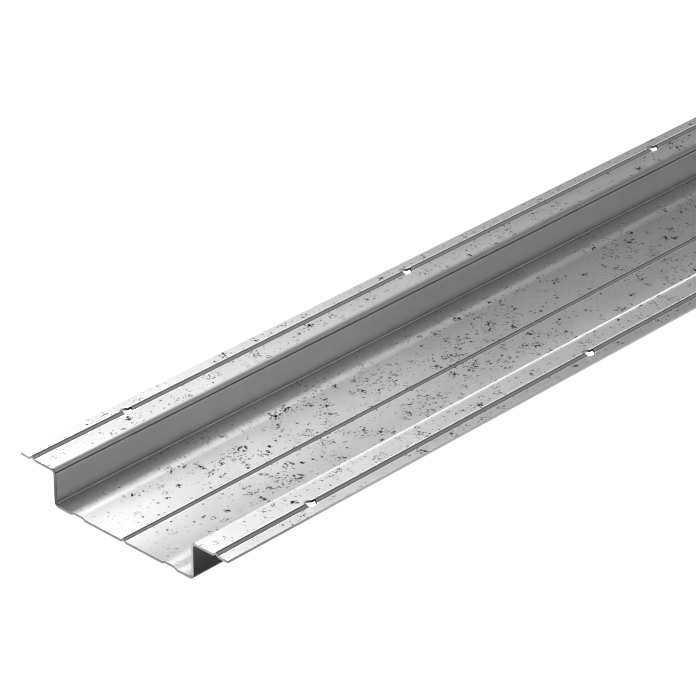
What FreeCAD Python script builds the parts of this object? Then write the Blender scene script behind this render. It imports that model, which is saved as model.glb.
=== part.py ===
import FreeCAD, Part
import math
import os
from FreeCAD import Vector

# Hat channel: one strip of thin galvanised steel sheet, roll formed to a wide, low hat section.
# It lies web down. X runs along its length, Y across it, Z up.
# Origin: middle of the length and width, on the underside of the web.
# The end that the photo shows is at X = -LENGTH/2. All lengths are in mm.

LENGTH = 2000.0            # stock length
WIDTH = 98.0               # over both flange tips
SHEET = 1.0                # sheet thickness
FLANGE_TOP = 14.4          # underside of the web to the top of the flange flats
LEG_OUT_Y = 33.1           # outer face of each leg, from the middle
BEND_IN_R = 1.0            # inside radius of the four bends
BEND_OUT_R = BEND_IN_R + SHEET

RIB_APEX = 1.0             # height of the sharp V of a rib, 0.9 after its crest is rounded
RIB_CREST_R = 0.4
RIB_FOOT_R = 0.4
FLANGE_RIB_Y = 43.5        # middle of the rib on each flange
FLANGE_RIB_HALF = 1.25     # half the width of that rib
WEB_RIB_HALF = 1.1         # half the width of the rib in the middle of the web

BEAD_IN_FOOT = 18.3        # the shallow raised bead in each half of the web
BEAD_IN_SHOULDER = 19.6
BEAD_OUT_SHOULDER = 23.9
BEAD_OUT_FOOT = 25.2
BEAD_RISE = 0.7
BEAD_R = 1.2

HOLE_D = 4.0               # round holes punched through the flange ribs
HOLE_FIRST = 43.3          # first hole from the end in the photo
HOLE_PITCH = 139.0

TIP = WIDTH / 2.0
LEG_IN_Y = LEG_OUT_Y - SHEET


def mirrored(half):
    """Open run of (y, z, r) corners from the left tip to the right tip, from its right half."""
    left = [(-y, z, r) for (y, z, r) in reversed(half) if y > 1e-9]
    return left + list(half)


def web_half(z0):
    """Right half of one face of the web, from the middle out to the foot of the bead."""
    return [
        (0.0, z0 + RIB_APEX, RIB_CREST_R),
        (WEB_RIB_HALF, z0, RIB_FOOT_R),
        (BEAD_IN_FOOT, z0, BEAD_R),
        (BEAD_IN_SHOULDER, z0 + BEAD_RISE, BEAD_R),
        (BEAD_OUT_SHOULDER, z0 + BEAD_RISE, BEAD_R),
        (BEAD_OUT_FOOT, z0, BEAD_R),
    ]


def flange_half(z0):
    """One face of the right flange, from the rib out to the tip."""
    return [
        (FLANGE_RIB_Y - FLANGE_RIB_HALF, z0, RIB_FOOT_R),
        (FLANGE_RIB_Y, z0 + RIB_APEX, RIB_CREST_R),
        (FLANGE_RIB_Y + FLANGE_RIB_HALF, z0, RIB_FOOT_R),
        (TIP, z0, 0.0),
    ]


# upper face of the sheet: web, inside of the trough, top of the flange
upper = mirrored(
    web_half(SHEET)
    + [(LEG_IN_Y, SHEET, BEND_IN_R), (LEG_IN_Y, FLANGE_TOP, BEND_OUT_R)]
    + flange_half(FLANGE_TOP)
)
# lower face of the sheet: underside of the web, outside of the leg, underside of the flange
lower = mirrored(
    web_half(0.0)
    + [(LEG_OUT_Y, 0.0, BEND_OUT_R), (LEG_OUT_Y, FLANGE_TOP - SHEET, BEND_IN_R)]
    + flange_half(FLANGE_TOP - SHEET)
)
outline = upper + list(reversed(lower))


def rounded_wire(corners, x):
    """Closed wire at one X through the corners, each with a tangent arc of its own radius."""
    n = len(corners)
    pts = [Vector(x, c[0], c[1]) for c in corners]
    starts, ends, mids = [], [], []
    for i in range(n):
        p = pts[i]
        r = corners[i][2]
        if r <= 0.0:
            starts.append(p)
            ends.append(p)
            mids.append(None)
            continue
        a = pts[i - 1].sub(p)
        b = pts[(i + 1) % n].sub(p)
        a.normalize()
        b.normalize()
        half = a.getAngle(b) / 2.0
        t = r / math.tan(half)
        bis = a.add(b)
        bis.normalize()
        centre = p.add(Vector(bis).multiply(r / math.sin(half)))
        starts.append(p.add(Vector(a).multiply(t)))
        ends.append(p.add(Vector(b).multiply(t)))
        mids.append(centre.sub(Vector(bis).multiply(r)))
    edges = []
    for i in range(n):
        if mids[i] is not None:
            edges.append(Part.Arc(starts[i], mids[i], ends[i]).toShape())
        j = (i + 1) % n
        if ends[i].distanceToPoint(starts[j]) > 1e-6:
            edges.append(Part.LineSegment(ends[i], starts[j]).toShape())
    return Part.Wire(edges)


section = Part.Face(rounded_wire(outline, -LENGTH / 2.0))
channel = section.extrude(Vector(LENGTH, 0, 0))

# both rows of punched holes
drills = []
x = HOLE_FIRST
while x < LENGTH - 10.0:
    for side in (-1.0, 1.0):
        drills.append(
            Part.makeCylinder(
                HOLE_D / 2.0,
                6.0,
                Vector(x - LENGTH / 2.0, side * FLANGE_RIB_Y, FLANGE_TOP - SHEET - 2.0),
                Vector(0, 0, 1),
            )
        )
    x += HOLE_PITCH
channel = channel.cut(Part.makeCompound(drills))
if channel.ShapeType != "Solid":
    channel = channel.Solids[0]

os.makedirs("parts", exist_ok=True)
channel.exportStep("parts/hat_channel.step")

box = channel.BoundBox
print("solids", len(channel.Solids), "valid", channel.isValid(), "faces", len(channel.Faces))
print("holes", len(drills), "volume mm3", round(channel.Volume, 1), "mass kg at 7.85", round(channel.Volume * 7.85e-6, 3))
print("box", round(box.XMin, 2), round(box.XMax, 2), round(box.YMin, 2), round(box.YMax, 2), round(box.ZMin, 2), round(box.ZMax, 2))
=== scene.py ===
import math

import bpy
import numpy as np
from mathutils import Matrix, Vector


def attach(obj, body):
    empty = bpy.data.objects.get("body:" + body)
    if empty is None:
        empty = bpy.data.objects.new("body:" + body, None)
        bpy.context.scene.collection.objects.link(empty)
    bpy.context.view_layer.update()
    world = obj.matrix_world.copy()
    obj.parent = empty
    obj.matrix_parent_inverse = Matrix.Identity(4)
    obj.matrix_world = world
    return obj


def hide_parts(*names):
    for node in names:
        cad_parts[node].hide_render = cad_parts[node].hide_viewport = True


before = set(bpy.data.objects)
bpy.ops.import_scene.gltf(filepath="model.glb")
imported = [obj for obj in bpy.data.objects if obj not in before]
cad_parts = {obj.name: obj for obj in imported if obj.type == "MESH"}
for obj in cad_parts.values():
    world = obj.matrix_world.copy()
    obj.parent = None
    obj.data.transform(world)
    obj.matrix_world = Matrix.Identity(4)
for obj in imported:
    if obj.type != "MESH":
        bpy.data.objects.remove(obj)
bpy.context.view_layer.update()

# ---------------------------------------------------------------------------
# The hat channel: the CAD section in mm, with finely divided bends, softened
# sheared edges and punched holes whose rims are drawn in a little.
# ---------------------------------------------------------------------------
LENGTH = 2000.0
TIP = 49.0
SHEET = 1.0
FLANGE_TOP = 14.4
LEG_OUT = 33.1
LEG_IN = LEG_OUT - SHEET
R_IN = 1.0
R_OUT = 2.0
RIB_APEX = 0.92
RIB_R = 0.4
CREST_R = 0.12
RIB_Y = 43.5
RIB_HALF = 1.25
WEB_RIB_HALF = 1.0
BEAD = (18.3, 19.6, 23.9, 25.2)
BEAD_RISE = 0.7
BEAD_R = 1.2
HOLE_R = 2.0
HOLE_FIRST = 43.3
HOLE_PITCH = 139.0
PATCH = 3.3       # half the side of the square of finer faces round each hole
PATCH_DY = 1.45   # half the width of the band whose lines run straight into the hole
CHAIN = 12        # steps along each long side of a patch
RINGS = (0.0, 0.10, 0.22, 0.45, 0.72, 1.0)
EDGE = 0.07       # softening of the sheared edges
X0, X1 = -LENGTH / 2, LENGTH / 2

HOLES = []
_x = HOLE_FIRST
while _x < LENGTH - 10.0:
    HOLES.append(_x + X0)
    _x += HOLE_PITCH


def corners(upper):
    """Right half of one face of the sheet, from the middle to the tip: (y, z, radius, arc steps)."""
    z0 = SHEET if upper else 0.0
    z1 = FLANGE_TOP if upper else FLANGE_TOP - SHEET
    yl = LEG_IN if upper else LEG_OUT
    rb, rt = (R_IN, R_OUT) if upper else (R_OUT, R_IN)
    return [
        (0.0, z0 + RIB_APEX, CREST_R, 6),
        (WEB_RIB_HALF, z0, RIB_R, 5),
        (BEAD[0], z0, BEAD_R, 5),
        (BEAD[1], z0 + BEAD_RISE, BEAD_R, 5),
        (BEAD[2], z0 + BEAD_RISE, BEAD_R, 5),
        (BEAD[3], z0, BEAD_R, 5),
        (yl, z0, rb, 12),
        (yl, z1, rt, 12),
        (RIB_Y - RIB_HALF, z1, RIB_R, 5),
        (RIB_Y, z1 + RIB_APEX, CREST_R, 6),
        (RIB_Y + RIB_HALF, z1, RIB_R, 5),
        (TIP, z1, 0.0, 0),
    ]


def face_run(upper):
    """One face of the sheet from the left tip to the right one: rows of (y, z, normal y, normal z)."""
    half = corners(upper)
    full = [(-y, z, r, n) for (y, z, r, n) in reversed(half) if y > 1e-9] + half
    side = 1.0 if upper else -1.0
    pts = []
    for i, (y, z, r, n) in enumerate(full):
        if r == 0.0:
            # a flange tip, a little short of the edge, which is softened separately
            pts.append((y - math.copysign(EDGE, y), z, 0.0, side))
            continue
        p = np.array([y, z])
        a = np.array(full[i - 1][:2]) - p
        b = np.array(full[i + 1][:2]) - p
        a /= np.linalg.norm(a)
        b /= np.linalg.norm(b)
        half_angle = math.acos(max(-1.0, min(1.0, float(a @ b)))) / 2
        t = r / math.tan(half_angle)
        bis = (a + b) / np.linalg.norm(a + b)
        c = p + bis * (r / math.sin(half_angle))
        v0, v1 = p + a * t - c, p + b * t - c
        a0, a1 = math.atan2(v0[1], v0[0]), math.atan2(v1[1], v1[0])
        da = (a1 - a0 + math.pi) % (2 * math.pi) - math.pi
        left = np.array([a[1], -a[0]]) * side
        sign = 1.0 if float(left @ v0) > 0 else -1.0
        for k in range(n + 1):
            ang = a0 + da * k / n
            rad = np.array([math.cos(ang), math.sin(ang)])
            q = c + r * rad
            pts.append((float(q[0]), float(q[1]), float(rad[0] * sign), float(rad[1] * sign)))
    return pts


def with_supports(pts, gap=0.35):
    """Adds a point near both ends of each long flat, and the lines that the hole patches need."""
    wanted = [
        s * RIB_Y + d
        for s in (-1, 1)
        for d in (-PATCH, -2.6, -2.0, -PATCH_DY, PATCH_DY, 2.0, 2.6, PATCH)
    ] + [s * y for s in (-1, 1) for y in (34.25, 34.5, 34.75, 35.2)]
    out = [pts[0]]
    for a, b in zip(pts, pts[1:]):
        pa, pb = np.array(a[:2]), np.array(b[:2])
        length = float(np.linalg.norm(pb - pa))
        ts = {gap / length, 1 - gap / length} if length > 1.2 else set()
        if abs(a[1] - b[1]) < 1e-9 and a[1] > 5.0:
            for w in wanted:
                t = (w - pa[0]) / (pb[0] - pa[0])
                if 1e-4 < t < 1 - 1e-4:
                    ts = {u for u in ts if abs(u - t) * length > 0.12}
                    ts.add(t)
        for t in sorted(ts):
            q = pa + (pb - pa) * t
            out.append((float(q[0]), float(q[1]), a[2], a[3]))
        out.append(b)
    return out


def softened(pts):
    """Upper face with the gentle crown that roll forming leaves between its creases, in its normals."""
    out = []
    for y, z, ny, nz in pts:
        s = abs(y)
        own = math.degrees(math.atan2(-ny * (1 if y > 0 else -1), nz))  # how far it leans inward
        lean = own
        if z < 5.0 and WEB[0][0] < s <= LEG_IN - R_IN:
            lean = float(np.interp(s, *zip(*WEB)))
        elif z < 5.0 and LEG_IN - R_IN < s:
            lean = WEB[-1][1] + own * (90.0 - WEB[-1][1]) / 90.0
        elif z > 12.0 and SHOULDER[0][0] < s < SHOULDER[-1][0]:
            lean = float(np.interp(s, *zip(*SHOULDER)))
        a = math.radians(lean)
        out.append((y, z, -math.sin(a) * (1 if y > 0 else -1), math.cos(a)) if lean != own else (y, z, ny, nz))
    return out


# distance from the middle in mm, lean of the surface toward the middle in degrees
WEB = [(1.45, 0.0), (18.2, 12.0), (19.6, 12.0), (23.9, -12.0), (25.3, -12.0), (31.1, 20.0)]
SHOULDER = [
    (32.4, 59.0), (32.5, 36.0), (32.7, 36.0), (32.9, 36.0), (33.1, 29.0), (33.3, 22.5), (33.6, 16.0), (33.85, 11.8),
    (34.25, 7.5), (34.75, 3.0), (35.2, 0.0),
]
UP = softened(with_supports(face_run(True)))
DOWN = with_supports(face_run(False))
if len(UP) != len(DOWN):
    raise ValueError("the two faces of the sheet differ in their number of lines")

verts, keys, polys, poly_normals, face_slot = [], {}, [], [], []
SKIN, CUT, PUNCH = 0, 1, 2   # material slots


def vertex(p):
    k = (round(p[0], 4), round(p[1], 4), round(p[2], 4))
    i = keys.get(k)
    if i is None:
        i = keys[k] = len(verts)
        verts.append((k[0] / 1000.0, k[1] / 1000.0, k[2] / 1000.0))
    return i


def add_face(points, normals, slot=SKIN):
    ids, ns = [], []
    for p, n in zip(points, normals):
        i = vertex(p)
        if i not in ids:
            ids.append(i)
            ns.append(n)
    if len(ids) > 2:
        polys.append(ids)
        poly_normals.append(ns)
        face_slot.append(slot)


# lines across the length: the softened ends, both sides of every hole patch, and some between
marks = [X0 + EDGE, X0 + 0.6]
for h in HOLES:
    marks += [h - PATCH, h + PATCH]
marks += [X1 - 0.6, X1 - EDGE]
STATIONS = [marks[0]]
for m in marks[1:]:
    span, base = m - STATIONS[-1], STATIONS[-1]
    if span > 40.0:
        k = int(math.ceil(span / 35.0))
        STATIONS += [base + span * j / k for j in range(1, k)]
    STATIONS.append(m)
CELLS = {}
for j in range(len(STATIONS) - 1):
    for h in HOLES:
        if abs(STATIONS[j] - (h - PATCH)) < 1e-6 and abs(STATIONS[j + 1] - (h + PATCH)) < 1e-6:
            CELLS[j] = h


def chain_x(h, k):
    return h - PATCH + 2 * PATCH * k / CHAIN


def zone(run, s):
    """The run's indices at the two sides of the band that holds the holes of flange s."""
    lo, hi = s * RIB_Y - PATCH, s * RIB_Y + PATCH
    at = lambda y: min(range(len(run)), key=lambda i: abs(run[i][0] - y))
    return at(lo), at(hi)


def sweep(run, flip):
    """One face of the sheet along the whole length, with the hole patches left open."""
    zones = [zone(run, s) for s in (-1, 1)]
    for j in range(len(STATIONS) - 1):
        xa, xb = STATIONS[j], STATIONS[j + 1]
        h = CELLS.get(j)
        for i in range(len(run) - 1):
            if h is not None and any(z0 <= i < z1 for z0, z1 in zones):
                continue
            a, b = run[i], run[i + 1]
            side_a = [(xa, a[0], a[1]), (xb, a[0], a[1])]
            side_b = [(xb, b[0], b[1]), (xa, b[0], b[1])]
            if h is not None and any(i == z1 for z0, z1 in zones):
                side_a = [(chain_x(h, k), a[0], a[1]) for k in range(CHAIN + 1)]
            if h is not None and any(i + 1 == z0 for z0, z1 in zones):
                side_b = [(chain_x(h, k), b[0], b[1]) for k in range(CHAIN, -1, -1)]
            pts = side_a + side_b
            ns = [(0.0, a[2], a[3])] * len(side_a) + [(0.0, b[2], b[3])] * len(side_b)
            add_face(pts[::-1], ns[::-1]) if flip else add_face(pts, ns)


sweep(UP, False)
sweep(DOWN, True)

# the long sheared edges of both flanges
for s, end in ((1, -1), (-1, 0)):
    strip = [
        UP[end],
        (s * TIP, FLANGE_TOP - EDGE, float(s), 0.0),
        (s * TIP, FLANGE_TOP - SHEET + EDGE, float(s), 0.0),
        DOWN[end],
    ]
    for xa, xb in zip(STATIONS, STATIONS[1:]):
        for a, b in zip(strip, strip[1:]):
            pts = [(xa, a[0], a[1]), (xb, a[0], a[1]), (xb, b[0], b[1]), (xa, b[0], b[1])]
            ns = [(0.0, a[2], a[3])] * 2 + [(0.0, b[2], b[3])] * 2
            add_face(pts, ns, CUT) if s > 0 else add_face(pts[::-1], ns[::-1], CUT)

# the sawn ends: a softened edge all round, then the flat cut
outline = (
    UP
    + [(TIP, FLANGE_TOP - EDGE, 1.0, 0.0), (TIP, FLANGE_TOP - SHEET + EDGE, 1.0, 0.0)]
    + DOWN[::-1]
    + [(-TIP, FLANGE_TOP - SHEET + EDGE, -1.0, 0.0), (-TIP, FLANGE_TOP - EDGE, -1.0, 0.0)]
)


def shrunk(p):
    return (p[0] - p[2] * EDGE, p[1] - p[3] * EDGE)


for x_in, x_out, s in ((X0 + EDGE, X0, -1.0), (X1 - EDGE, X1, 1.0)):
    n = len(outline)
    for i in range(n):
        a, b = outline[i], outline[(i + 1) % n]
        pa, pb = shrunk(a), shrunk(b)
        pts = [(x_in, a[0], a[1]), (x_in, b[0], b[1]), (x_out, pb[0], pb[1]), (x_out, pa[0], pa[1])]
        ns = [(0.0, a[2], a[3]), (0.0, b[2], b[3]), (s, 0.0, 0.0), (s, 0.0, 0.0)]
        add_face(pts, ns, CUT) if s < 0 else add_face(pts[::-1], ns[::-1], CUT)
    for a, b, c, d in zip(UP, UP[1:], DOWN[1:], DOWN):
        pts = [(x_out, *shrunk(q)) for q in (a, b, c, d)]
        ns = [(s, 0.0, 0.0)] * 4
        add_face(pts, ns, CUT) if s < 0 else add_face(pts[::-1], ns[::-1], CUT)
    for t, u, v, w in (
        (UP[-1], outline[len(UP)], outline[len(UP) + 1], DOWN[-1]),
        (DOWN[0], outline[-2], outline[-1], UP[0]),
    ):
        pts = [(x_out, *shrunk(q)) for q in (t, u, v, w)]
        ns = [(s, 0.0, 0.0)] * 4
        add_face(pts, ns, CUT) if s < 0 else add_face(pts[::-1], ns[::-1], CUT)


def heights(run, s):
    """Height and normal of one face at any y of the band that holds the holes of flange s."""
    z0, z1 = zone(run, s)
    band = np.array(run[z0 : z1 + 1])

    def at(y):
        z, ny, nz = (float(np.interp(y, band[:, 0], band[:, c])) for c in (1, 2, 3))
        k = math.hypot(ny, nz)
        return z, ny / k, nz / k

    return at


def patch_loops(run, s, h):
    """The patch's square and the hole's rim, point for point, counterclockwise from above."""
    yc = s * RIB_Y
    z0, z1 = zone(run, s)
    ys = [p[0] for p in run[z0 : z1 + 1]]
    mid = [y for y in ys if abs(y - yc) <= PATCH_DY + 1e-6]
    low = [y for y in ys if y - yc < -PATCH_DY - 1e-6]
    high = [y for y in ys if y - yc > PATCH_DY + 1e-6]
    a_low = math.asin(PATCH_DY / HOLE_R)
    outer, rim = [], []

    def arc(points, start):
        n = len(points) + 1
        for k, q in enumerate(points, 1):
            ang = start + (math.pi - 2 * a_low) * k / n
            outer.append(q)
            rim.append((h + HOLE_R * math.cos(ang), yc + HOLE_R * math.sin(ang)))

    for y in mid:
        outer.append((h + PATCH, y))
        rim.append((h + math.sqrt(HOLE_R**2 - (y - yc) ** 2), y))
    arc(
        [(h + PATCH, y) for y in high]
        + [(chain_x(h, k), yc + PATCH) for k in range(CHAIN - 1, -1, -1)]
        + [(h - PATCH, y) for y in reversed(high[:-1])],
        a_low,
    )
    for y in reversed(mid):
        outer.append((h - PATCH, y))
        rim.append((h - math.sqrt(HOLE_R**2 - (y - yc) ** 2), y))
    arc(
        [(h - PATCH, y) for y in reversed(low)]
        + [(chain_x(h, k), yc - PATCH) for k in range(1, CHAIN + 1)]
        + [(h + PATCH, y) for y in low[1:]],
        math.pi + a_low,
    )
    return outer, rim


ROUND = 0.09  # how far outside the hole the softened rim starts


def hole(s, h, number):
    yc = s * RIB_Y
    wobble = 1.0 + 0.35 * math.sin(number * 2.399 + s)  # no two punched rims are quite alike
    first = {}
    for is_up, run in ((True, UP), (False, DOWN)):
        outer, rim = patch_loops(run, s, h)
        at = heights(run, s)
        draw = (0.10 if is_up else 0.05) * wobble
        grid = []
        for t in RINGS:
            ring = []
            for (ox, oy), (bx, by) in zip(outer, rim):
                if t == 1.0:
                    px, py = ox, oy
                    z, ny, nz = at(py)
                    ring.append(((px, py, z), (0.0, ny, nz)))
                    continue
                k = (HOLE_R + ROUND) / HOLE_R
                qx, qy = h + (bx - h) * k, yc + (by - yc) * k
                px, py = qx + (ox - qx) * t, qy + (oy - qy) * t
                z, ny, nz = at(py)
                d = math.hypot(px - h, py - yc)
                fall = math.exp(-(d - HOLE_R) / 0.28)
                z -= draw * fall
                side = 1.0 if is_up else -1.0
                n = np.array([0.0, ny, nz])
                n -= np.array([px - h, py - yc, 0.0]) / d * (draw / 0.28 * fall) * side
                n /= np.linalg.norm(n)
                ring.append(((px, py, z), tuple(float(c) for c in n)))
            grid.append(ring)
        m = len(outer)
        for r in range(len(RINGS) - 1):
            for k in range(m):
                k2 = (k + 1) % m
                quad = [grid[r][k], grid[r + 1][k], grid[r + 1][k2], grid[r][k2]]
                quad = quad if is_up else quad[::-1]
                add_face([q[0] for q in quad], [q[1] for q in quad])
        first[is_up] = (grid[0], rim)
    (top_ring, rim), (low_ring, rim_low) = first[True], first[False]
    walls = []
    for (bx, by), (_, _, zt), (_, _, zb) in zip(rim, [q[0] for q in top_ring], [q[0] for q in low_ring]):
        n = ((h - bx) / HOLE_R, (yc - by) / HOLE_R, 0.0)
        walls.append([((bx, by, z), n) for z in (zt - 0.10, (zt + zb) / 2, zb + 0.05)])
    rows = [top_ring] + [[w[r] for w in walls] for r in range(3)] + [low_ring]
    m = len(rim)
    for r in range(len(rows) - 1):
        for k in range(m):
            k2 = (k + 1) % m
            quad = [rows[r][k2], rows[r + 1][k2], rows[r + 1][k], rows[r][k]]
            add_face([q[0] for q in quad], [q[1] for q in quad], PUNCH)


for number, h in enumerate(HOLES):
    for s in (-1, 1):
        hole(s, h, number)

mesh = bpy.data.meshes.new("hat_channel_sheet")
mesh.from_pydata(verts, [], polys)
mesh.polygons.foreach_set("use_smooth", [True] * len(mesh.polygons))
mesh.update()
mesh.normals_split_custom_set([n for face in poly_normals for n in face])
channel = bpy.data.objects.new("hat_channel_sheet", mesh)
bpy.context.scene.collection.objects.link(channel)
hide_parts("hat_channel")
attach(channel, "root")

# ---------------------------------------------------------------------------
# Materials: galvanised steel, and the bare metal of its sheared edges
# ---------------------------------------------------------------------------
class Net:
    """A little shorthand for making shader nodes."""

    def __init__(self, material):
        material.use_nodes = True
        self.tree = material.node_tree

    def node(self, kind, **props):
        n = self.tree.nodes.new(kind)
        for k, v in props.items():
            setattr(n, k, v)
        return n

    def feed(self, sock, v):
        if isinstance(v, bpy.types.NodeSocket):
            self.tree.links.new(v, sock)
        else:
            sock.default_value = v

    def m(self, op, a, b=0.0, c=0.0):
        n = self.node("ShaderNodeMath", operation=op)
        for s, v in zip(n.inputs, (a, b, c)):
            self.feed(s, v)
        return n.outputs[0]

    def v(self, op, a, b):
        n = self.node("ShaderNodeVectorMath", operation=op)
        self.feed(n.inputs[0], a)
        self.feed(n.inputs["Scale"] if op == "SCALE" else n.inputs[1], b)
        return n.outputs["Value"] if op == "DISTANCE" else n.outputs[0]

    def step(self, v, lo, hi, a=0.0, b=1.0):
        n = self.node("ShaderNodeMapRange", interpolation_type="SMOOTHSTEP")
        for s, x in zip(n.inputs, (v, lo, hi, a, b)):
            self.feed(s, x)
        return n.outputs[0]

    def noise(self, vec, size, detail=2.0, rough=0.5, dims="2D", colour=False):
        n = self.node("ShaderNodeTexNoise", noise_dimensions=dims)
        self.feed(n.inputs["Vector"], vec)
        n.inputs["Scale"].default_value = 1.0 / size
        n.inputs["Detail"].default_value = detail
        n.inputs["Roughness"].default_value = rough
        return n.outputs["Color" if colour else 0]

    def cells(self, vec, size):
        n = self.node("ShaderNodeTexVoronoi", voronoi_dimensions="2D")
        self.feed(n.inputs["Vector"], vec)
        n.inputs["Scale"].default_value = 1.0 / size
        return n

    def xyz(self, x, y, z=0.0):
        n = self.node("ShaderNodeCombineXYZ")
        for s, v in zip(n.inputs, (x, y, z)):
            self.feed(s, v)
        return n.outputs[0]

    def split(self, v):
        n = self.node("ShaderNodeSeparateXYZ")
        self.feed(n.inputs[0], v)
        return n.outputs


steel = bpy.data.materials.new("galvanised_steel")
g = Net(steel)
bsdf = g.tree.nodes["Principled BSDF"]
bsdf.inputs["Metallic"].default_value = 1.0

# The zinc pattern runs unbroken over the bends and is the same on both sides of the middle,
# so it is laid out in mm along the length and in mm outward across the unrolled sheet.
ox, oy, oz = g.split(g.node("ShaderNodeTexCoord").outputs["Object"])
along = g.m("MULTIPLY_ADD", ox, 1000.0, 1000.0)
aside = g.m("MULTIPLY", g.m("ABSOLUTE", oy), 1000.0)
high = g.m("MULTIPLY", oz, 1000.0)
place = g.xyz(along, g.m("ADD", aside, high))
wander = g.v("SUBTRACT", g.noise(place, 0.8, 1.0, colour=True), (0.5, 0.5, 0.5))
ragged = g.v("ADD", place, g.v("SCALE", wander, 0.9))

# the clearest patches, in mm: along the length, outward from the middle, radius, strength
PATCHES = [
    (36, 47, 1.5, 0.7), (40, 39.5, 1.6, 0.9), (77.5, 39, 1.3, 0.8), (93, 47.3, 2.6, 0.9), (101.5, 39.3, 2.6, 0.75),
    (132.5, 46.7, 1.6, 0.9), (128.8, 40.2, 1.8, 0.7), (167, 38.8, 1, 0.95), (172, 46.5, 1.4, 0.75),
    (194.5, 46.8, 1.8, 0.6), (250, 40.2, 1.4, 0.7), (304.5, 36, 2, 0.8),
    (21.5, 18.3, 1, 0.95), (41.5, 20.5, 2.2, 0.8), (46, 19, 1.6, 0.9), (50.2, 15, 1.5, 0.9), (36.5, 11.3, 1.2, 0.9),
    (50, 9.7, 2.3, 0.95), (56.3, 11, 1.4, 0.7), (61.5, 4.5, 1.6, 0.95), (63, 10, 2.6, 0.7), (67.5, 13.5, 3, 0.75),
    (72.7, 5.3, 2, 0.9), (76, 8, 1.2, 0.8), (69.3, 23.4, 1.8, 0.65), (87.8, 15.2, 2.5, 0.85), (91.5, 20.3, 2.6, 1),
    (97, 20.5, 3.2, 0.85), (105, 17.7, 1.7, 0.9), (112.5, 16.6, 1.8, 0.9), (109.5, 13.5, 2.6, 0.75),
    (105, 9, 2.8, 0.65), (91, 4.7, 2, 0.6), (120.5, 19.5, 2, 0.7), (128.5, 18, 1.8, 1), (122, 12.4, 1.6, 0.75),
    (124.8, 11.2, 1.6, 0.9), (141.3, 10.8, 2, 0.75), (155.5, 4, 2.2, 0.75), (163.3, 6.6, 1.8, 0.95),
    (167, 3.3, 1.8, 0.85), (170.8, 7.4, 1.8, 0.9), (172, 20, 2, 0.7), (167, 22.4, 1.3, 1), (185.7, 21.5, 2.2, 0.9),
    (192, 11, 2, 0.9), (189.6, 8.2, 1.9, 0.8), (182, 4, 1.6, 0.75), (197, 3.7, 2, 0.8), (233.5, 15.3, 2.3, 0.6),
    (245, 11, 1.6, 0.9), (256, 6, 2.2, 0.7), (262, 22, 2, 0.6), (276.5, 16, 2.2, 0.9), (287.5, 8.7, 2, 0.95),
    (290, 6.2, 1.4, 0.95), (294, 11.2, 1.6, 0.8), (303.3, 22, 1.7, 0.6), (302, 15.3, 1.6, 0.7), (318.8, 24, 1.6, 0.7),
    (26.7, 39, 1, 0.6), (122.5, 39.3, 0.9, 0.8), (133.5, 36.5, 1.2, 0.7), (177, 41, 1, 0.6), (207, 35.2, 1.2, 0.8),
    (19, 3.2, 0.8, 0.6), (22.5, 24.3, 0.8, 0.6), (45, 5.5, 1.1, 0.6), (51.5, 5, 1.4, 0.55), (60.5, 14.5, 1.5, 0.55),
    (70, 13.2, 1.2, 0.8), (77, 26.5, 1, 0.6), (82.5, 17, 1.3, 0.6), (107.5, 7.5, 1.2, 0.7), (111, 12, 1.1, 0.7),
    (129.5, 7.5, 1, 0.7), (152.5, 13, 1.6, 0.55), (158, 15, 0.8, 0.7), (170.5, 13.5, 1, 0.6), (181.5, 2.5, 1, 0.6),
    (187.5, 15, 1.2, 0.55), (207, 14, 1.2, 0.5), (210, 5.5, 1.4, 0.5),
]
patch = 0.0
for px, py, radius, strength in PATCHES:
    outward = py + (FLANGE_TOP if py > LEG_OUT else SHEET + BEAD_RISE if BEAD[0] < py < BEAD[3] else SHEET)
    near = g.m("MULTIPLY_ADD", g.v("DISTANCE", ragged, (px, outward, 0.0)), -1.1 * strength / radius, 1.6 * strength)
    patch = g.m("MAXIMUM", near, patch)
patch = g.m("MINIMUM", patch, 1.0)
# where other flecks gather: thinly near the sawn end, more freely along the rest
big = g.noise(place, 26.0, 2.0, 0.55)
mid = g.noise(place, 6.5, 1.5, 0.55)
gather = g.m("ADD", g.m("MULTIPLY", big, 0.45), g.m("MULTIPLY", mid, 0.55))
crowd = g.m("MULTIPLY", g.step(gather, 0.47, 0.62), g.step(along, 10.0, 75.0, 0.35, 1.0))
# single dots
cell = g.cells(ragged, 1.9)
r1, r2, r3 = g.split(cell.outputs["Color"])
radius = g.m("MULTIPLY_ADD", g.m("POWER", r1, 3.0), 0.26, 0.19)
dot = g.step(g.m("SUBTRACT", radius, cell.outputs["Distance"]), -0.05, 0.10)
share = g.m("MULTIPLY_ADD", crowd, g.step(along, 315.0, 345.0, 0.12, 0.34), 0.02)
here = g.step(g.m("SUBTRACT", g.m("MAXIMUM", share, g.m("MULTIPLY", patch, 0.50)), r2), 0.0, 0.03)
deep = g.m("MULTIPLY_ADD", r3, 0.60, 0.40)
dots = g.m("MULTIPLY", g.m("MULTIPLY", dot, here), deep)
# crumbs, which fill the patches, each of its own depth
bar = g.m("MULTIPLY_ADD", crowd, g.step(along, 315.0, 345.0, -0.03, -0.09), 0.71)
bar = g.m("MULTIPLY_ADD", patch, -0.20, bar)
crumb = g.m("SUBTRACT", g.noise(ragged, 1.15, 2.0, 0.6), bar)
own = g.step(g.noise(place, 2.3, 1.0, 0.5), 0.38, 0.62)
depth = g.m("ADD", g.m("MULTIPLY_ADD", own, 0.55, 0.35), g.m("MULTIPLY", g.m("POWER", patch, 2.0), 0.15))
crumbs = g.m("MULTIPLY", g.step(crumb, 0.0, 0.10), depth)
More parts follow.
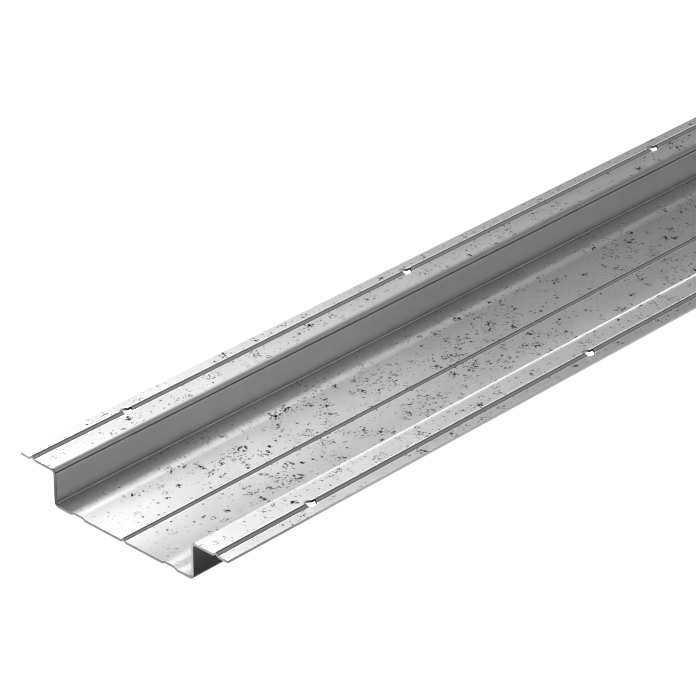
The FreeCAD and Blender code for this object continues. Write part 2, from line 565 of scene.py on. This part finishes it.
# broken outlines of small patches
isle = g.noise(place, 3.4, 1.0, 0.5)
line = g.step(g.m("ABSOLUTE", g.m("SUBTRACT", isle, 0.53)), 0.032, 0.006)
gap = g.step(g.noise(place, 1.5, 1.0, 0.5), 0.45, 0.58)
faint = g.m("MULTIPLY_ADD", g.m("MAXIMUM", g.m("MULTIPLY", crowd, 0.5), patch), 0.70, 0.05)
arcs = g.m("MULTIPLY", g.m("MULTIPLY", line, gap), faint)
fleck = g.m("MAXIMUM", g.m("MAXIMUM", dots, crumbs), arcs)
# small hollow flakes with broken rims
cell = g.cells(g.v("ADD", place, g.v("SCALE", wander, 1.5)), 3.1)
r1, r2, r3 = g.split(cell.outputs["Color"])
off = g.m("SUBTRACT", cell.outputs["Distance"], g.m("MULTIPLY_ADD", r1, 0.14, 0.20))
rim = g.step(g.m("ABSOLUTE", off), 0.105, 0.03)
rim = g.m("MULTIPLY", rim, g.step(g.noise(place, 1.2, 1.0, 0.5), 0.42, 0.54))
few = g.m("MAXIMUM", g.m("MULTIPLY_ADD", crowd, g.step(along, 315.0, 345.0, 0.36, 0.50), 0.03), g.m("MULTIPLY", patch, 0.65))
rim = g.m("MULTIPLY", rim, g.step(g.m("SUBTRACT", few, r2), 0.0, 0.03))
fleck = g.m("MAXIMUM", fleck, g.m("MULTIPLY", rim, g.m("MULTIPLY_ADD", r3, 0.45, 0.50)))
# dark cores
core = g.m("MULTIPLY_ADD", g.m("MAXIMUM", patch, g.m("MULTIPLY", crowd, 0.35)), 0.17, g.noise(ragged, 1.5, 1.0, 0.5))
fleck = g.m("MAXIMUM", fleck, g.step(core, 0.75, 0.80))
# none on the steep legs and the ribs, few by the sawn end and low beside the legs
corner = g.m("MULTIPLY", g.step(aside, 25.0, 27.5), g.step(high, 4.0, 3.0))
fleck = g.m("MULTIPLY", fleck, g.m("MULTIPLY_ADD", corner, -0.55, 1.0))
level = g.m("ABSOLUTE", g.split(g.node("ShaderNodeNewGeometry").outputs["True Normal"])[2])
fleck = g.m("MULTIPLY", fleck, g.step(level, 0.80, 0.90))
fleck = g.m("MULTIPLY", fleck, g.m("MAXIMUM", g.step(aside, 33.9, 34.3), g.step(high, 8.0, 5.0)))
fleck = g.m("MULTIPLY", fleck, g.step(along, 0.0, 20.0, 0.75, 1.0))
# painted highlight: a bright line beside each rib; painted shade: a dark line along its foot and crest
rib = g.m("ABSOLUTE", g.m("SUBTRACT", aside, RIB_Y))
rib = g.m("MINIMUM", rib, g.m("ADD", aside, RIB_HALF - WEB_RIB_HALF))
painted_highlight_by_rib = g.m("MULTIPLY", g.step(rib, RIB_HALF, RIB_HALF + 0.10), g.step(rib, RIB_HALF + 0.60, RIB_HALF + 0.25))
painted_shade_on_rib = g.m("MULTIPLY", g.step(rib, RIB_HALF - 0.35, RIB_HALF - 0.22), g.step(rib, RIB_HALF + 0.05, RIB_HALF - 0.02))
crest = g.m("MINIMUM", g.m("ABSOLUTE", g.m("SUBTRACT", aside, RIB_Y)), aside)
painted_shade_on_rib = g.m("MAXIMUM", painted_shade_on_rib, g.m("MULTIPLY", g.step(crest, 0.44, 0.26), 1.7))

cloud = g.m("SUBTRACT", g.noise(place, 9.0, 3.0, 0.6), 0.5)
shade = g.m("MULTIPLY_ADD", cloud, 0.05, 0.75)
# painted light: the level faces are painted paler over a stretch past the near end
painted_light_stretch = g.m("MULTIPLY", g.step(along, 175.0, 140.0), g.step(oy, -0.013, -0.003))
painted_light_stretch = g.m("MULTIPLY", g.m("MAXIMUM", painted_light_stretch, g.m("MULTIPLY", g.step(aside, 33.0, 34.0), g.step(aside, 45.2, 44.6, 0.0, 0.85))), g.step(along, 40.0, 75.0))
shade = g.m("MULTIPLY", shade, g.m("MULTIPLY_ADD", g.m("MULTIPLY", painted_light_stretch, g.step(level, 0.6, 0.9)), 0.11, 1.0))
# painted highlight beside each rib
shade = g.m("MULTIPLY", shade, g.m("MULTIPLY_ADD", painted_highlight_by_rib, 0.30, 1.0))
# painted light: the faces of each rib are painted lighter
shade = g.m("MULTIPLY", shade, g.step(rib, RIB_HALF, RIB_HALF - 0.1, 1.0, 1.31))
# painted shade along each rib's foot and crest
shade = g.m("MULTIPLY", shade, g.m("MULTIPLY_ADD", painted_shade_on_rib, -0.40, 1.0))
# painted light and shade on the legs: painted dark and bright lines at both bends, and a lighter middle
LEG_LIGHT_AND_SHADE = (
    (1.0, 0.98), (1.15, 0.50), (1.35, 0.50), (1.5, 1.15), (1.65, 1.0), (1.85, 0.55), (2.1, 0.55), (2.6, 0.86), (3.4, 1.02),
    (4.2, 1.22), (5.2, 1.28), (7.0, 1.22), (9.0, 1.12), (11.2, 1.03), (12.4, 1.12), (12.8, 1.12), (12.93, 0.18),
    (13.27, 0.18), (13.42, 1.3), (13.8, 1.3), (14.0, 1.02), (14.3, 1.0),
)
ramp = g.node("ShaderNodeValToRGB")
stops = ramp.color_ramp.elements
while len(stops) > 1:
    stops.remove(stops[-1])
for k, (zz, f) in enumerate(LEG_LIGHT_AND_SHADE):
    e = stops[0] if k == 0 else stops.new(zz / 16.0)
    e.position = zz / 16.0
    e.color = (f / 2, f / 2, f / 2, 1.0)
g.feed(ramp.inputs[0], g.m("DIVIDE", high, 16.0))
inside = g.m("ADD", g.m("MULTIPLY", g.step(high, 12.7, 12.9), 1.5), LEG_IN + 0.35)
leg = g.m("MULTIPLY", g.step(aside, 30.95, 31.15), g.step(g.m("SUBTRACT", inside, aside), 0.0, 0.2))
painted_leg_shading = g.m("MULTIPLY_ADD", ramp.outputs[0], 2.0, -1.0)
# painted light and shade on the legs
shade = g.m("MULTIPLY", shade, g.m("MULTIPLY_ADD", painted_leg_shading, leg, 1.0))
# painted shade: the outer side of the legs under the flanges is darker, and a dark line is painted along both legs at
# the sawn ends
outer = g.m("MULTIPLY", g.step(aside, LEG_OUT - 0.3, LEG_OUT - 0.1), g.step(high, 13.2, 12.6))
shade = g.m("MULTIPLY", shade, g.m("MULTIPLY_ADD", outer, -0.25, 1.0))
# painted shade: a dark line along both legs at the sawn ends
painted_shade_sawn_edge = g.m("MULTIPLY", g.step(g.m("MINIMUM", along, g.m("SUBTRACT", LENGTH, along)), 0.55, 0.30), leg)
shade = g.m("MULTIPLY", shade, g.m("MULTIPLY_ADD", painted_shade_sawn_edge, -0.55, 1.0))
shade = g.m("MINIMUM", shade, 0.98)
shade = g.m("MULTIPLY", shade, g.m("MULTIPLY_ADD", fleck, -0.98, 1.0))
g.feed(bsdf.inputs["Base Color"], g.xyz(shade, shade, shade))
g.feed(bsdf.inputs["Roughness"], g.m("ADD", g.m("MULTIPLY_ADD", cloud, 0.04, 0.42), g.m("MULTIPLY", fleck, 0.15)))
bump = g.node("ShaderNodeBump")
bump.inputs["Strength"].default_value = 0.25
bump.inputs["Distance"].default_value = 0.00002
g.feed(bump.inputs["Height"], g.noise(place, 0.5, 2.0, 0.6))
g.feed(bsdf.inputs["Normal"], bump.outputs["Normal"])

cut = bpy.data.materials.new("sheared_edge")
g = Net(cut)
bsdf = g.tree.nodes["Principled BSDF"]
bsdf.inputs["Metallic"].default_value = 1.0
at = g.node("ShaderNodeTexCoord").outputs["Object"]
streak = g.noise(g.v("MULTIPLY", at, (1000.0, 1000.0, 1000.0)), 1.2, 3.0, 0.6, dims="3D")
tone = g.m("MULTIPLY_ADD", g.m("SUBTRACT", streak, 0.5), 0.16, 0.90)
# the level parts of both ends are darker than the upright legs
_, _, up = g.split(at)
up = g.m("MULTIPLY", up, 1000.0)
upright = g.m("MULTIPLY", g.step(up, 1.3, 2.2), g.step(up, 13.7, 12.8))
sawn = g.step(g.m("ABSOLUTE", g.split(g.node("ShaderNodeNewGeometry").outputs["True Normal"])[0]), 0.5, 0.7)
dim = g.m("MULTIPLY", sawn, g.m("SUBTRACT", g.step(up, 12.0, 13.0, 1.0, 0.45), upright))
dim = g.m("MAXIMUM", dim, 0.0)
tone = g.m("MULTIPLY", tone, g.m("MULTIPLY_ADD", dim, -0.45, 1.0))
g.feed(bsdf.inputs["Base Color"], g.xyz(tone, tone, tone))
g.feed(bsdf.inputs["Roughness"], g.m("MULTIPLY_ADD", g.m("SUBTRACT", streak, 0.5), 0.2, 0.45))

punched = bpy.data.materials.new("punched_wall")
g = Net(punched)
bsdf = g.tree.nodes["Principled BSDF"]
bsdf.inputs["Metallic"].default_value = 1.0
at = g.node("ShaderNodeTexCoord").outputs["Object"]
streak = g.noise(g.v("MULTIPLY", at, (1000.0, 1000.0, 1000.0)), 0.6, 3.0, 0.6, dims="3D")
# painted shade: the hole walls are near black, and those that face across the channel are painted lighter
painted_light_across = g.m("ABSOLUTE", g.split(g.node("ShaderNodeNewGeometry").outputs["True Normal"])[1])
# painted shade in the holes, painted lighter across the channel
tone = g.m("MULTIPLY_ADD", streak, 0.08, g.step(painted_light_across, 0.60, 0.92, 0.03, 0.50))
g.feed(bsdf.inputs["Base Color"], g.xyz(tone, tone, tone))
bsdf.inputs["Roughness"].default_value = 0.55

mesh.materials.append(steel)
mesh.materials.append(cut)
mesh.materials.append(punched)
mesh.polygons.foreach_set("material_index", face_slot)
mesh.update()

# ---------------------------------------------------------------------------
# Stage: pale floor, soft studio light
# ---------------------------------------------------------------------------
floor_mesh = bpy.data.meshes.new("floor")
HALF = 60.0
floor_mesh.from_pydata([(-HALF, -HALF, 0), (HALF, -HALF, 0), (HALF, HALF, 0), (-HALF, HALF, 0)], [], [(0, 1, 2, 3)])
floor = bpy.data.objects.new("floor", floor_mesh)
floor.location = (0, 0, -0.0002)
bpy.context.scene.collection.objects.link(floor)
fm = bpy.data.materials.new("floor")
g = Net(fm)
g.tree.nodes.clear()
glow = g.node("ShaderNodeEmission")
glow.inputs["Strength"].default_value = 1.0
matt = g.node("ShaderNodeBsdfDiffuse")
matt.inputs["Color"].default_value = (0.04, 0.04, 0.04, 1.0)
both = g.node("ShaderNodeAddShader")
g.tree.links.new(glow.outputs[0], both.inputs[0])
g.tree.links.new(matt.outputs[0], both.inputs[1])
clear = g.node("ShaderNodeBsdfTransparent")
mix = g.node("ShaderNodeMixShader")
g.tree.links.new(g.node("ShaderNodeNewGeometry").outputs["Backfacing"], mix.inputs[0])
g.tree.links.new(both.outputs[0], mix.inputs[1])
g.tree.links.new(clear.outputs[0], mix.inputs[2])
g.tree.links.new(mix.outputs[0], g.node("ShaderNodeOutputMaterial").inputs[0])
floor_mesh.materials.append(fm)
floor.visible_diffuse = floor.visible_glossy = floor.visible_transmission = floor.visible_shadow = False

# the floor beside both legs, which only shows as a reflection in them; painted shade darkens it by the near end
SPOT_X, SPOT_Y = 17.0, 40.0
PALE = 0.9   # the strength of the floor in the mirror of the legs, away from the near end
under = bpy.data.meshes.new("floor_shade")
rows = [33.5, 47.0, 53.0, 62.0]
tones = [0.07, 0.09, 0.20, 0.34]
sv, sf = [], []
for s in (-1, 1):
    base = len(sv)
    for y in rows:
        sv += [(-1.02, s * y / 1000, 0.0), (1.02, s * y / 1000, 0.0)]
    for k in range(len(rows) - 1):
        q = [base + 2 * k, base + 2 * k + 1, base + 2 * k + 3, base + 2 * k + 2]
        sf.append(q if s > 0 else q[::-1])
under.from_pydata(sv, [], sf)
under_floor = bpy.data.objects.new("floor_shade", under)
under_floor.location = (0, 0, -0.0003)
bpy.context.scene.collection.objects.link(under_floor)
sm = bpy.data.materials.new("floor_shade")
g = Net(sm)
g.tree.nodes.clear()
sx, sy, _ = g.split(g.node("ShaderNodeTexCoord").outputs["Object"])
out = g.m("MULTIPLY", g.m("ABSOLUTE", sy), 1000.0)
# painted light: glowing spots that stand for light falling through each punched hole onto the floor
between = g.m("MULTIPLY_ADD", sx, 1000.0 / HOLE_PITCH, (1000.0 - HOLE_FIRST - SPOT_X) / HOLE_PITCH + 0.5)
between = g.m("MULTIPLY", g.m("SUBTRACT", g.m("FRACT", between), 0.5), HOLE_PITCH)
painted_light_spot = g.v("DISTANCE", g.xyz(between, out), (0.0, SPOT_Y, 0.0))
painted_light_spot = g.step(painted_light_spot, 8.0, 5.0, 0.0, 3.5)
glow = g.node("ShaderNodeEmission")
# painted shade: the strips are darker by the near end
painted_shade_near_end = g.step(g.m("MULTIPLY_ADD", sx, 1000.0, 1000.0), 60.0, 44.0)
pale = g.m("ADD", g.m("MULTIPLY", g.m("SUBTRACT", g.step(out, 46.0, 62.0, 0.04, 0.30), PALE), painted_shade_near_end), PALE)
g.feed(glow.inputs["Strength"], g.m("ADD", pale, painted_light_spot))
g.tree.links.new(glow.outputs[0], g.node("ShaderNodeOutputMaterial").inputs[0])
under.materials.append(sm)
under_floor.visible_camera = under_floor.visible_diffuse = under_floor.visible_transmission = under_floor.visible_shadow = False

world = bpy.data.worlds.new("studio")
bpy.context.scene.world = world
g = Net(world)
g.tree.nodes.clear()
_, _, wz = g.split(g.node("ShaderNodeTexCoord").outputs["Generated"])
room = g.node("ShaderNodeBackground")
g.feed(room.inputs["Strength"], g.step(wz, -0.02, 0.02, 0.301, 0.15))
white = g.node("ShaderNodeBackground")
white.inputs["Strength"].default_value = 1.0
for b in (room, white):
    b.inputs["Color"].default_value = (1.0, 1.0, 1.0, 1.0)
mix = g.node("ShaderNodeMixShader")
g.tree.links.new(g.node("ShaderNodeLightPath").outputs["Is Camera Ray"], mix.inputs[0])
g.tree.links.new(room.outputs[0], mix.inputs[1])
g.tree.links.new(white.outputs[0], mix.inputs[2])
g.tree.links.new(mix.outputs[0], g.node("ShaderNodeOutputWorld").inputs[0])


def lamp(name, x, distance, azimuth, elevation, size, power, tall=None, spread=180):
    """A round or elliptic soft light that looks at the point x of the long axis."""
    data = bpy.data.lights.new(name, "AREA")
    data.shape, data.size, data.energy = "DISK", size, power
    if tall is not None:
        data.shape, data.size_y = "ELLIPSE", tall
    data.spread = math.radians(spread)
    az, el = math.radians(azimuth), math.radians(elevation)
    d = Vector((math.cos(az) * math.cos(el), math.sin(az) * math.cos(el), math.sin(el)))
    ob = bpy.data.objects.new(name, data)
    ob.location = Vector((x, 0, 0)) + d * distance
    ob.rotation_euler = d.to_track_quat("Z", "Y").to_euler()
    ob.visible_camera = False
    bpy.context.scene.collection.objects.link(ob)


lamp("key", -0.85, 0.8, 90, 55, 0.6, 1.106, spread=120)
lamp("key_far", -0.85, 1.4, 90, 55, 0.3, 1.742, spread=110)
lamp("key_small", -0.85, 0.8, 80, 60, 0.18, 0.710, spread=120)
lamp("rim", -0.70, 1.4, 55, 0, 0.8, 3.888)
lamp("rim_low", -0.70, 1.4, 35, 2, 0.5, 2.6, tall=0.1)
lamp("front", -0.85, 2.6, 300, 30, 1.3, 1.287)
lamp("end", -1.0, 1.4, 136, -29, 0.8, 1.2)
# these only reach the part of the length that is far from the camera
lamp("along", 0.50, 1.0, 90, 70, 1.1, 0.26, tall=0.6, spread=72)
lamp("along_front", 0.50, 1.0, 270, 30, 1.1, 0.14, tall=0.6, spread=72)
lamp("along_rim", 0.62, 1.5, 60, 32, 0.8, 0.42, tall=0.5, spread=45)

# ---------------------------------------------------------------------------
# Camera: a long lens from the front left, above
# ---------------------------------------------------------------------------
cam_data = bpy.data.cameras.new("camera")
cam = bpy.data.objects.new("camera", cam_data)
bpy.context.scene.collection.objects.link(cam)
cam_data.sensor_width = 36.0
cam_data.lens = 3892.5 * 36.0 / 696.0
cam_data.clip_start, cam_data.clip_end = 0.05, 100.0
right = Vector((0.69136864, -0.72250219, 0.0))
up = Vector((0.35261016, 0.33741573, 0.87282112))
fwd = Vector((0.63061517, 0.60344115, -0.48804026))
cam.matrix_world = Matrix(
    (
        (right.x, up.x, -fwd.x, -1.73028),
        (right.y, up.y, -fwd.y, -0.80071),
        (right.z, up.z, -fwd.z, 0.67765),
        (0, 0, 0, 1),
    )
)
bpy.context.scene.camera = cam
bpy.context.scene.cycles.filter_width = 1.0
bpy.context.scene.view_settings.view_transform = "Standard"

print("triangles", sum(len(p) - 2 for p in polys), "vertices", len(verts))
